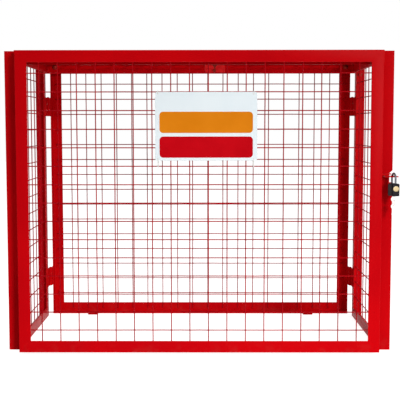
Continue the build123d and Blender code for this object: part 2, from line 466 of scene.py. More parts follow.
@dataclass(frozen=True)
class PowderCoat(Finish):
    """Powder coat with orange peel, a lighter edge tone that is a painted highlight, and a little grime near
    the floor.
    """

    specular: float = 0.012
    peel_scale: float = 520.0
    peel_height: float = 0.04 * MM
    peel_strength: float = 0.6
    drift: float = 4.0
    tone_reach: float = 0.45
    tone_gloss: float = 0.06
    grime: Colour = (0.16, 0.1, 0.08)
    grime_amount: float = 0.1
    grime_gloss: float = 0.3
    marks: Optional[PanelMarks] = None
    mark_depth: float = 0.2 * MM
    mark_shade: float = 0.5
    # Width of the painted edge highlight.
    edge_radius: float = 2.4 * MM

    def build(self) -> bpy.types.Material:
        """The finish as a material.

        Returns:
            The new material.
        """
        material, graph, shader, vector = self._start()
        graph.put(shader, "Specular IOR Level", self.specular)
        grain = graph.place(SharedEffects.grain(), Vector=vector, Scale=self.peel_scale, Drift=self.drift)
        tone = grain.outputs["Tone"]
        colour = self._tones(graph, vector, tone, self.tone_reach, self.edge_radius)[1]
        grime = graph.place(SharedEffects.floor_grime(), Vector=vector)
        soiled = graph.math("MULTIPLY", grime.outputs["Mask"], self.grime_amount)
        colour = graph.mix(soiled, colour, (*self.grime, 1))
        height = graph.math("MULTIPLY", grain.outputs["Height"], self.peel_height)
        if self.marks:
            mask = self.marks.mask(graph, vector)
            colour = graph.mix(graph.math("MULTIPLY", mask, self.mark_shade), colour, (*self.shade, 1))
            height = graph.math("MULTIPLY_ADD", mask, -self.mark_depth, height)
        rough = graph.math("MULTIPLY_ADD", tone, self.tone_gloss, self.roughness)
        graph.put(shader, "Base Color", colour)
        graph.put(shader, "Roughness", graph.math("MULTIPLY_ADD", soiled, self.grime_gloss, rough))
        bump = graph.node("Bump", Height=height, Distance=1.0, Strength=self.peel_strength)
        graph.put(shader, "Normal", bump.outputs["Normal"])
        return material


@dataclass(frozen=True)
class GrainedFinish(Finish):
    """A finish whose fine grain gives its relief and whose drift gives its gloss."""

    tone_gloss: ClassVar[float] = 0.1
    edge_radius: ClassVar[float] = 0.5 * MM
    tone_reach: ClassVar[float] = 0.5

    def _dress(
        self, graph: Graph, shader: bpy.types.Node, vector: Socket, grain: bpy.types.Node, height: float
    ) -> None:
        """Feeds the shader's colour, roughness and normal.

        Args:
            graph: The material's graph.
            shader: The material's shader.
            vector: The object's coordinates.
            grain: The placed grain group.
            height: Height of the grain's relief.
        """
        share, colour = self._tones(graph, vector, grain.outputs["Tone"], self.tone_reach, self.edge_radius)
        graph.put(shader, "Base Color", colour)
        graph.put(shader, "Roughness", graph.math("MULTIPLY_ADD", share, self.tone_gloss, self.roughness))
        relief = graph.math("MULTIPLY", grain.outputs["Height"], height)
        graph.put(shader, "Normal", graph.node("Bump", Height=relief, Distance=1.0).outputs["Normal"])


@dataclass(frozen=True)
class BareMetal(GrainedFinish):
    """Uncoated metal with drawn or turned streaks and edges rubbed bright."""

    tone_gloss: ClassVar[float] = 0.12
    edge_radius: ClassVar[float] = 0.4 * MM
    streaks: Triple = (900.0, 900.0, 60.0)
    streak_height: float = 0.02 * MM
    drift: float = 0.04

    def build(self) -> bpy.types.Material:
        """The finish as a material.

        Returns:
            The new material.
        """
        material, graph, shader, vector = self._start()
        graph.put(shader, "Metallic", 1.0)
        drawn = graph.node("Mapping", Vector=vector, Scale=self.streaks).outputs["Vector"]
        grain = graph.place(SharedEffects.grain(), Vector=drawn, Scale=1.0, Drift=self.drift)
        self._dress(graph, shader, vector, grain, self.streak_height)
        return material


@dataclass(frozen=True)
class MouldedPlastic(GrainedFinish):
    """Plastic, lacquer or print with a fine grain."""

    tone_gloss: ClassVar[float] = 0.08
    specular: float = 0.5
    grain_scale: float = 1400.0
    grain_height: float = 0.02 * MM
    drift: float = 14.0

    def build(self) -> bpy.types.Material:
        """The finish as a material.

        Returns:
            The new material.
        """
        material, graph, shader, vector = self._start()
        graph.put(shader, "Specular IOR Level", self.specular)
        grain = graph.place(SharedEffects.grain(), Vector=vector, Scale=self.grain_scale, Drift=self.drift)
        self._dress(graph, shader, vector, grain, self.grain_height)
        return material


# Each red powder coat's lighter edge colour is a painted highlight along its edges.
RED = PowderCoat("red powder coat", (0.62, 0.0015, 0.004), (0.53, 0.001, 0.004), (0.86, 0.045, 0.04))
# A lighter copy of the red powder coat: the light falling on the catch plate is painted into its colour.
CATCH_RED_WITH_PAINTED_LIGHT = PowderCoat(
    "red powder coat on the catch plate with painted light", (0.86, 0.02, 0.022), (0.78, 0.014, 0.018), (0.9, 0.1, 0.09)
)
WIRE_RED = PowderCoat(
    "red powder coat on wire",
    (0.5, 0.004, 0.008),
    (0.36, 0.003, 0.008),
    (0.6, 0.02, 0.02),
    0.42,
    peel_scale=900.0,
    drift=9.0,
    edge_radius=0.8 * MM,
)
LACQUER = MouldedPlastic(
    "black lacquer", (0.013, 0.011, 0.015), (0.008, 0.007, 0.01), (0.05, 0.045, 0.055), 0.4, specular=0.09
)
DARK_STEEL = BareMetal("hardened steel", (0.2, 0.2, 0.22), (0.1, 0.1, 0.11), (0.4, 0.4, 0.42), 0.28)
BRASS = BareMetal("satin brass", (0.46, 0.365, 0.21), (0.38, 0.3, 0.17), (0.6, 0.51, 0.34), 0.5)
NICKEL = BareMetal("nickel plate", (0.92, 0.91, 0.88), (0.84, 0.83, 0.8), (0.95, 0.94, 0.92), 0.3)
# Dark red for the bolts, the screw and the slot wedge: red paint on steel, darkened by painted shade.
BOLT_RED_WITH_PAINTED_SHADE = BareMetal("dark red bolt steel with painted shade", (0.3, 0.022, 0.016), (0.16, 0.014, 0.01), (0.4, 0.06, 0.05), 0.5)
SIGN_WHITE = MouldedPlastic(
    "white sign board", (0.88, 0.96, 0.99), (0.85, 0.94, 0.98), (0.94, 0.97, 0.98), 0.34, specular=0.2
)
SIGN_ORANGE = MouldedPlastic(
    "orange print", (0.82, 0.25, 0.008), (0.76, 0.22, 0.005), (0.86, 0.3, 0.02), 0.36, specular=0.02
)
SIGN_RED = MouldedPlastic(
    "red print", (0.62, 0.002, 0.008), (0.54, 0.001, 0.006), (0.7, 0.01, 0.02), 0.36, specular=0.02
)
TIE_NYLON = MouldedPlastic(
    "natural nylon", (0.84, 0.84, 0.8), (0.76, 0.76, 0.72), (0.9, 0.9, 0.88), 0.38
)


class Materials:
    """Builds each finish once."""

    _built: ClassVar[dict[str, bpy.types.Material]] = {}

    @classmethod
    def of(cls, finish: Finish) -> bpy.types.Material:
        """The material of a finish.

        Args:
            finish: What a piece is coated with or made from.

        Returns:
            The one material of that finish.
        """
        if finish.name not in cls._built:
            cls._built[finish.name] = finish.build()
        return cls._built[finish.name]


def spokes(first: Vector, second: Vector, sides: int, start: float = 0.0) -> list[Vector]:
    """Directions evenly round a centre.

    Args:
        first: The direction at angle 0.
        second: The direction a quarter turn on.
        sides: Number of directions.
        start: Angle of the first one, in radians.

    Returns:
        The directions in order.
    """
    angles = [start + 2 * math.pi * step / sides for step in range(sides)]
    return [first * math.cos(angle) + second * math.sin(angle) for angle in angles]


def arc(centre: Pair, radius: float, start: float, end: float, steps: int) -> list[Pair]:
    """Points on an arc.

    Args:
        centre: The arc's centre.
        radius: The arc's radius.
        start: First angle in degrees.
        end: Last angle in degrees.
        steps: Number of stretches.

    Returns:
        The points, both ends among them.
    """
    angles = [math.radians(start + (end - start) * step / steps) for step in range(steps + 1)]
    return [(centre[0] + radius * math.cos(turn), centre[1] + radius * math.sin(turn)) for turn in angles]


def rounded_outline(width: float, height: float, radius: float, steps: int) -> list[Pair]:
    """Points of a rectangle with rounded corners, centred on 0.

    Args:
        width: Size along the first axis.
        height: Size along the second axis.
        radius: The corners' radius.
        steps: Stretches in each corner.

    Returns:
        The points, anticlockwise.
    """
    x, y = width / 2 - radius, height / 2 - radius
    corners = (((x, y), 0), ((-x, y), 90), ((-x, -y), 180), ((x, -y), 270))
    return [point for centre, turn in corners for point in arc(centre, radius, turn, turn + 90, steps)]


@dataclass
class Shell:
    """Vertices and faces of one piece, gathered from simple forms."""

    RIPPLE: ClassVar[float] = 1.8 * MM
    BEAD_SIDES: ClassVar[int] = 8
    BEAD_TIP: ClassVar[float] = 0.45
    BEAD_TAPER: ClassVar[float] = 4
    BEAD_VALLEY: ClassVar[float] = 0.86
    BEAD_SPREAD: ClassVar[Pair] = (0.94, 1.06)
    vertices: list[Vector] = field(default_factory=list)
    faces: list[tuple[int, ...]] = field(default_factory=list)

    def skin(self, rings: Sequence[Sequence[Vector]], looped: bool = False) -> None:
        """Joins a run of rings that have the same number of points.

        Args:
            rings: The rings in order.
            looped: Whether the last ring joins the first. If it doesn't, both ends are capped.
        """
        start = len(self.vertices)
        count = len(rings[0])
        for ring in rings:
            self.vertices.extend(ring)
        for index in range(len(rings) if looped else len(rings) - 1):
            low = start + index * count
            high = start + (index + 1) % len(rings) * count
            for step in range(count):
                after = (step + 1) % count
                self.faces.append((low + step, low + after, high + after, high + step))
        if not looped:
            last = start + (len(rings) - 1) * count
            self.faces.append(tuple(start + step for step in reversed(range(count))))
            self.faces.append(tuple(last + step for step in range(count)))

    def turned(self, centre: Vector, axis: Vector, profile: Profile, sides: int, start: float = 0.0) -> None:
        """A form turned on an axis.

        Args:
            centre: The point on the axis where heights are 0.
            axis: Unit direction of the axis.
            profile: Height and radius of each ring.
            sides: Number of sides.
            start: Angle of the first point.
        """
        first = axis.orthogonal().normalized()
        ways = spokes(first, axis.cross(first), sides, start)
        self.skin([[centre + axis * height + way * radius for way in ways] for height, radius in profile])

    def tube(
        self, path: Sequence[Vector], radii: Sequence[float], normal: Vector, sides: int, looped: bool = False
    ) -> None:
        """A round bar along a path that lies in one plane.

        Args:
            path: Points on the bar's centre line.
            radii: The bar's radius at each point.
            normal: Unit normal of the path's plane.
            sides: Number of sides.
            looped: Whether the path is a closed loop.
        """
        rings = []
        count = len(path)
        for index, (point, radius) in enumerate(zip(path, radii)):
            before = path[(index - 1) % count] if looped or index else point
            after = path[(index + 1) % count] if looped or index < count - 1 else point
            side = (after - before).normalized().cross(normal)
            rings.append([point + way * radius for way in spokes(side, normal, sides)])
        self.skin(rings, looped)

    def plate(self, outline: Sequence[Vector], normal: Vector, thickness: float, edge: float) -> None:
        """A flat plate with eased edges.

        Args:
            outline: Corners of the lower face, in order.
            normal: Unit direction of the thickness.
            thickness: Size along the normal.
            edge: How far each face's rim is eased in.
        """
        middle = sum(outline, Vector()) / len(outline)
        ways = [(corner - middle).normalized() for corner in outline]
        rings = []
        for height, inset in ((0, edge), (edge, 0), (thickness - edge, 0), (thickness, edge)):
            rings.append([corner - way * inset + normal * height for corner, way in zip(outline, ways)])
        self.skin(rings)

    def bead(self, start: Vector, end: Vector, radius: float, seed: int) -> None:
        """A weld bead: overlapping ripples along a line, thinner at both ends.

        Args:
            start: Where the bead starts.
            end: Where the bead ends.
            radius: The bead's usual radius.
            seed: Seed of the small differences between ripples.
        """
        rng = random.Random(seed)
        run = end - start
        steps = max(4, int(run.length / self.RIPPLE) * 2)
        path, radii = [], []
        for step in range(steps + 1):
            share = step / steps
            taper = min(1.0, self.BEAD_TIP + self.BEAD_TAPER * min(share, 1 - share))
            wave = 1.0 if step % 2 else self.BEAD_VALLEY
            path.append(start + run * share)
            radii.append(radius * taper * wave * rng.uniform(*self.BEAD_SPREAD))
        self.tube(path, radii, run.orthogonal().normalized(), self.BEAD_SIDES)

    def piece(
        self,
        name: str,
        finish: Finish,
        slot: Slot,
        body: Body,
        replaced: Iterable[str] = (),
        sharp_angle: float = 38.0,
    ) -> bpy.types.Object:
        """Makes the object, dresses it and hands it to its body.

        Args:
            name: The piece's name.
            finish: What it is coated with or made from.
            slot: The record's slot for that finish; not used.
            body: The body that it moves with.
            replaced: Nodes of the model that it stands for.
            sharp_angle: Edges that turn more than this many degrees stay sharp.

        Returns:
            The new object.
        """
        mesh = bpy.data.meshes.new(name)
        mesh.from_pydata(self.vertices, [], self.faces)
        work = bmesh.new()
        work.from_mesh(mesh)
        bmesh.ops.recalc_face_normals(work, faces=work.faces)
        work.to_mesh(mesh)
        work.free()
        mesh.shade_smooth()
        mesh.set_sharp_from_angle(angle=math.radians(sharp_angle))
        mesh.materials.append(Materials.of(finish))
        piece = bpy.data.objects.new(name, mesh)
        bpy.context.scene.collection.objects.link(piece)
        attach(piece, body.value)
        if replaced:
            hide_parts(*replaced)
        LOG.info("%s: %d faces, rides on %s", name, len(mesh.polygons), body.value)
        return piece


@dataclass(frozen=True)
class LegNotch:
    """A stretch of a stile where its leg is cut back, with a slanted top end."""

    low: float
    high: float
    kept_leg: float
    top_slant: float = 9 * MM
    foot_slant: float = 0.1 * MM


@dataclass
class AnglePanel:
    """One framed panel: a mitred frame of steel angle with a sheet of welded wire."""

    CORNERS: ClassVar[tuple[tuple[int, int], ...]] = ((-1, -1), (1, -1), (1, 1), (-1, 1))
    name: str
    body: Body
    normal: Vector
    upright: Vector
    sides: Sequence[str]
    wires_on_centre: tuple[bool, bool]
    pitches: Pair
    seed: int
    notch: Optional[LegNotch] = None
    leg: float = 35 * MM
    root_radius: float = 2.5 * MM
    toe_radius: float = 1.6 * MM
    heel_radius: float = 0.7 * MM
    nose: float = 0.4 * MM
    heel_steps: int = 3
    toe_steps: int = 4
    root_steps: int = 5
    bead_radius: float = 2 * MM
    bead_inset: float = 0.6 * MM
    bead_ends: Pair = (1 * MM, 2.5 * MM)
    wire_radius: float = 1.6 * MM
    wire_layer: float = 3 * MM
    wire_overlap: float = 20 * MM
    wire_sides: int = 10
    wire_bow: float = 0.25 * MM
    wire_wander: float = 0.12 * MM
    spot_swell: Pair = (1.12, 1.28)
    spot_half_height: float = 1 * MM
    spot_rim: float = 0.7
    dab_sides: int = 8
    dab_swell: Pair = (1.5, 1.9)
    dab_shape: Triple = (1.15, 1.0, 0.45)
    dab_shoulder: float = 0.6
    dab_rise: float = 0.7 * MM
    dab_wander: float = 1 * MM
    weld_inset: float = 18 * MM

    def __post_init__(self) -> None:
        """Works out the panel's plane from the model's nodes."""
        self.nodes = [f"{self.name}_{side}" for side in self.sides]
        boxes = [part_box(node) for node in self.nodes]
        low = Vector([min(box[0][axis] for box in boxes) for axis in range(3)])
        high = Vector([max(box[1][axis] for box in boxes) for axis in range(3)])
        self.across = self.upright.cross(self.normal)
        half_depth = abs((high - low).dot(self.normal)) / 2
        self.face_centre = (low + high) / 2 - self.normal * half_depth
        self.half_width = abs((high - low).dot(self.across)) / 2
        self.half_height = abs((high - low).dot(self.upright)) / 2
        self.finish = replace(RED, name=f"red powder coat of the {self.name} frame", marks=self._marks())

    def _marks(self) -> PanelMarks:
        """Weld marks at the ends of this panel's wires.

        Returns:
            The marks, in the plane of the panel.
        """
        axes = [max(range(3), key=lambda axis: abs(way[axis])) for way in (self.across, self.upright)]
        centre = tuple(self.face_centre[axis] for axis in axes)
        starts = tuple(
            middle if on_centre else middle + pitch / 2
            for middle, on_centre, pitch in zip(centre, self.wires_on_centre, self.pitches)
        )
        return PanelMarks(axes[0], axes[1], centre, (self.half_width, self.half_height), self.pitches, starts)

    def at(self, across: float, up: float, depth: float) -> Vector:
        """A point of the panel: across and up from its centre, and depth behind its flanges' face."""
        return self.face_centre + self.across * across + self.upright * up + self.normal * depth

    def _profile(self, depth_leg: float) -> list[Pair]:
        """The angle's section as inward and depth distances, with rolled toes and root.

        Args:
            depth_leg: Length of the leg that goes back from the flange.

        Returns:
            The section's points in order.
        """
        leg, root, toe, heel, nose = self.leg, self.root_radius, self.toe_radius, self.heel_radius, self.nose
        return [
            *arc((heel, heel), heel, 180, 270, self.heel_steps),
            (leg - nose, 0),
            (leg, nose),
            *arc((leg - toe, WALL - toe), toe, 0, 90, self.toe_steps),
            *reversed(arc((WALL + root, WALL + root), root, 180, 270, self.root_steps)),
            *arc((WALL - toe, depth_leg - toe), toe, 0, 90, self.toe_steps),
            (nose, depth_leg),
            (0, depth_leg - nose),
        ]

    def _notch_rings(self, profile: Profile) -> list[list[Vector]]:
        """Rings down the last stile, from the notch's top to its foot.

        Args:
            profile: The section above and below the notch.

        Returns:
            The rings in order.
        """
        cut = self.notch
        short = self._profile(cut.kept_leg)
        stations = (
            (cut.high + cut.top_slant, profile),
            (cut.high, short),
            (cut.low, short),
            (cut.low - cut.foot_slant, profile),
        )
        rings = []
        for height, section in stations:
            up = height - self.face_centre.z
            rings.append([self.at(inward - self.half_width, up, depth) for inward, depth in section])
        return rings

    def frame(self) -> None:
        """The four bars as one mitred frame, with a bead in each corner between the legs."""
        shell = Shell()
        profile = self._profile(self.leg)
        rings = []
        for across, up in self.CORNERS:
            ring = []
            for inward, depth in profile:
                place = (across * (self.half_width - inward), up * (self.half_height - inward))
                ring.append(self.at(*place, depth))
            rings.append(ring)
        if self.notch:
            rings += self._notch_rings(profile)
        shell.skin(rings, looped=True)
        inset = WALL + self.bead_inset
        for index, (across, up) in enumerate(self.CORNERS):
            corner = (across * (self.half_width - inset), up * (self.half_height - inset))
            start = self.at(*corner, WALL + self.bead_ends[0])
            end = self.at(*corner, self.leg - self.bead_ends[1])
            shell.bead(start, end, self.bead_radius, self.seed * 10 + index)
        shell.piece(f"{self.name}_frame", self.finish, Slot.PAINT, self.body, self.nodes)

    def _stations(self, half_size: float, pitch: float, on_centre: bool) -> list[float]:
        """Places of the wires along one direction.

        Args:
            half_size: Half of the panel's size in that direction.
            pitch: Distance between wires.
            on_centre: Whether one wire lies on the panel's centre line.

        Returns:
            Distances from the centre line, in order.
        """
        half_opening = half_size - self.leg
        count = 2 * int(half_opening / pitch) + 1 if on_centre else 2 * int(half_opening / pitch + 0.5)
        return [(index - (count - 1) / 2) * pitch for index in range(count)]

    def wires(self) -> None:
        """The sheet of round wires, with a fused spot at each crossing and a dab of weld at each end."""
        shell = Shell()
        rng = random.Random(self.seed)
        columns = self._stations(self.half_width, self.pitches[0], self.wires_on_centre[0])
        rows = self._stations(self.half_height, self.pitches[1], self.wires_on_centre[1])
        first_depth = WALL + self.wire_radius
        second_depth = WALL + 2 * self.wire_layer - self.wire_radius
        width, height = self.half_width - self.leg, self.half_height - self.leg
        for place in columns:
            self._wire(
                shell,
                rng,
                lambda run, shift: self.at(place + shift, run, first_depth),
                height + self.wire_overlap,
                rows,
            )
        for place in rows:
            self._wire(
                shell,
                rng,
                lambda run, shift: self.at(run, place + shift, second_depth),
                width + self.wire_overlap,
                columns,
            )
        for column in columns:
            for row in rows:
                self._spot(shell, rng, column, row)
        for row in rows:
            for side in (-1, 1):
                self._dab(shell, rng, side * (width + self.weld_inset), row, second_depth)
        for column in columns:
            for side in (-1, 1):
                self._dab(shell, rng, column, side * (height + self.weld_inset), first_depth)
        shell.piece(f"{self.name}_wires", WIRE_RED, Slot.WIRE, self.body, [f"{self.name}_mesh"])

    def _wire(
        self,
        shell: Shell,
        rng: random.Random,
        place: Callable[[float, float], Vector],
        reach: float,
        crossings: Sequence[float],
    ) -> None:
        """One wire, straight but for a slight bow between its crossings.

        Args:
            shell: What the wire is added to.
            rng: Source of the small shifts.
            place: Gives the point at a run along the wire and a shift beside it.
            reach: Half of the wire's length.
            crossings: Where it meets the other wires.
        """
        runs = [-reach, -reach + self.nose]
        shifts = [0.0, 0.0]
        for index, crossing in enumerate(crossings):
            if index:
                runs.append((crossings[index - 1] + crossing) / 2)
                shifts.append(rng.uniform(-self.wire_bow, self.wire_bow))
            runs.append(crossing)
            shifts.append(rng.uniform(-self.wire_wander, self.wire_wander))
        runs += [reach - self.nose, reach]
        shifts += [0.0, 0.0]
        path = [place(run, shift) for run, shift in zip(runs, shifts)]
        radii = [self.wire_radius] * len(path)
        radii[0] = radii[-1] = self.wire_radius - self.nose
        shell.tube(path, radii, self.normal, self.wire_sides)

    def _spot(self, shell: Shell, rng: random.Random, column: float, row: float) -> None:
        """The fused spot between two wires.

        Args:
            shell: What the spot is added to.
            rng: Source of the small differences.
            column: Place of the upright wire.
            row: Place of the level wire.
        """
        centre = self.at(column, row, WALL + self.wire_layer)
        radius = self.wire_radius * rng.uniform(*self.spot_swell)
        half, rim = self.spot_half_height, radius * self.spot_rim
        sides = self.dab_sides
        shell.turned(centre, self.normal, ((-half, rim), (0, radius), (half, rim)), sides, math.pi / sides)

    def _dab(self, shell: Shell, rng: random.Random, across: float, up: float, depth: float) -> None:
        """Weld metal that joins a wire's end to the flange.

        Args:
            shell: What the dab is added to.
            rng: Source of the small differences.
            across: Its place across the panel.
            up: Its place up the panel.
            depth: How far behind the flanges' face the wire's centre lies.
        """
        radius = self.wire_radius * rng.uniform(*self.dab_swell)
        base = self.at(across + rng.uniform(-self.dab_wander, self.dab_wander), up, WALL)
        height = depth - WALL
        heights = (0, height * self.dab_shoulder, height + self.dab_rise)
        profile = [(rise, radius * share) for rise, share in zip(heights, self.dab_shape)]
        shell.turned(base, self.normal, profile, self.dab_sides)


@dataclass
class HingeColumn:
    """The upper and lower hinge on one vertical axis: leaves with knuckles, and headed pins."""

    name: str
    fixed_leaves: str
    moving_leaves: str
    moving_body: Body
    nodes: dict[str, bpy.types.Object]
    length: float = 66 * MM
    gap: float = 0.4 * MM
    knuckles: int = 3
    knuckle_sides: int = 28
    knuckle_ease: float = 0.5 * MM
    bore_share: float = 0.5
    leaf: float = 2.5 * MM
    leaf_ease: float = 0.3 * MM
    pin_shares: Pair = (0.42, 0.49)
    pin_tip: float = 0.3 * MM
    head_shares: Pair = (0.82, 0.6)
    head_height: float = 2 * MM
    head_ease: float = 0.8 * MM
    pin_sides: int = 24
    weld_radius: float = 1.6 * MM
    weld_setback: float = 16 * MM
    weld_length: float = 14 * MM
    weld_rise: float = 1 * MM
    barrel_zone: float = 0.9
    plate_zone: float = 1.5

    def build(self) -> None:
        """Both leaves and the pins of the upper and lower hinge."""
        low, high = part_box(f"{self.name}_pins")
        self.axis = Vector(((low.x + high.x) / 2, (low.y + high.y) / 2, 0))
        leaf_low, leaf_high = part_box(f"{self.name}_{self.fixed_leaves}")
        self.radius = (leaf_high.x - leaf_low.x) / 2
        self.feet = (leaf_low.z, leaf_high.z - self.length)
        self._leaves(self.fixed_leaves, Body.CAGE)
        self._leaves(self.moving_leaves, self.moving_body)
        self._pins()

    def _pins(self) -> None:
        """The pins, each with a flat head on top."""
        shell = Shell()
        tip, shank = (self.radius * share for share in self.pin_shares)
        head, crown = (self.radius * share for share in self.head_shares)
        top = self.length + self.head_height
        profile = (
            (0, tip), (self.pin_tip, shank), (self.length, shank), (self.length, head),
            (top - self.head_ease, head), (top, crown),
        )
        for foot in self.feet:
            shell.turned(self.axis + UP * foot, UP, profile, self.pin_sides)
        shell.piece(f"{self.name}_pin_set", RED, Slot.PAINT, Body.CAGE, [f"{self.name}_pins"])

    def _leaves(self, leaves: str, body: Body) -> None:
        """One leaf of both hinges.

        Args:
            leaves: Last part of the node's name.
            body: The body that the leaf moves with.
        """
        node = f"{self.name}_{leaves}"
        low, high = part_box(node)
        to_rear, to_front = high.y - self.axis.y, self.axis.y - low.y
        reach = REAR if to_rear > to_front else FRONT
        extent = max(to_rear, to_front)
        step = (self.length + self.gap) / self.knuckles
        height = step - self.gap
        bore, ease = self.radius * self.bore_share, self.knuckle_ease
        knuckle = (
            (0, bore), (0, self.radius - ease), (ease, self.radius),
            (height - ease, self.radius), (height, self.radius - ease), (height, bore),
        )
        first = 0 if self._has_outer_knuckles(node) else 1
        side = self._plate_side(node)
        faces = (side * (self.radius - self.leaf), side * self.radius)
        root = self.radius + self.gap
        shell = Shell()
        for foot in self.feet:
            for index in range(first, self.knuckles, 2):
                start = self.axis + UP * (foot + index * step)
                self._sleeve(shell, start, knuckle)
                self._slab(shell, start, reach, (0, root), faces, height)
            start = self.axis + UP * foot
            self._slab(shell, start, reach, (root, extent), faces, self.length)
            for seed, z in ((1, self.weld_rise), (2, self.length - self.weld_rise)):
                begin = start + RIGHT * faces[1] + reach * (extent - self.weld_setback) + UP * z
                end = begin + reach * self.weld_length
                shell.bead(begin, end, self.weld_radius, seed + int(foot / MM))
        shell.piece(f"{node}_pair", RED, Slot.PAINT, body, [node])

    def _has_outer_knuckles(self, node: str) -> bool:
        """Whether a leaf has the outer knuckles: its barrel then has metal at the hinge's foot.

        Args:
            node: The leaf's node.

        Returns:
            True for the leaf with the outer knuckles.
        """
        points = [vertex.co for vertex in self.nodes[node].data.vertices]
        furthest = self.radius * self.barrel_zone
        barrel = [point.z for point in points if abs(point.y - self.axis.y) < furthest]
        return min(barrel) < self.feet[0] + self.gap

    def _plate_side(self, node: str) -> int:
        """1 where the leaf's plate lies on the +X side of the axis, and -1 on the other.

        Args:
            node: The leaf's node.

        Returns:
            1 or -1.
        """
        points = [vertex.co for vertex in self.nodes[node].data.vertices]
        nearest = self.radius * self.plate_zone
        plate = [point.x - self.axis.x for point in points if abs(point.y - self.axis.y) > nearest]
        return 1 if sum(plate) > 0 else -1

    def _sleeve(self, shell: Shell, start: Vector, profile: Profile) -> None:
        """A knuckle with its bore, as a closed ring.

        Args:
            shell: What the knuckle is added to.
            start: The point on the axis at its foot.
            profile: Height and radius of each point of its section.
        """
        rings = []
        for way in spokes(RIGHT, REAR, self.knuckle_sides):
            rings.append([start + UP * height + way * radius for height, radius in profile])
        shell.skin(rings, looped=True)

    def _slab(
        self, shell: Shell, start: Vector, reach: Vector, span: Pair, faces: Pair, height: float
    ) -> None:
        """A flat stretch of the leaf.

        Args:
            shell: What the stretch is added to.
            start: The point on the axis at its foot.
            reach: The way that the leaf goes from the axis.
            span: Its nearest and furthest distance from the axis.
            faces: Where its inner and outer face lie along X, from the axis.
            height: Its height.
        """
        near, far = span
        corners = ((faces[0], near), (faces[1], near), (faces[1], far), (faces[0], far))
        shell.plate([start + RIGHT * x + reach * y for x, y in corners], UP, height, self.leaf_ease)


@dataclass(frozen=True)
class DrilledLug:
    """A small level plate with a hole and rounded corners, welded along its beads.

    The rounded corners are given as centre x and y, and the arc's first and last angle. The beads are given
    as both ends' x and y, and a height.
    """

    name: str
    body: Body
    square: Sequence[Pair]
    rounded: Sequence[tuple[float, float, float, float]]
    hole: Pair
    beads: Sequence[tuple[Pair, Pair, float]]
    bead_radius: float
    first_seed: int


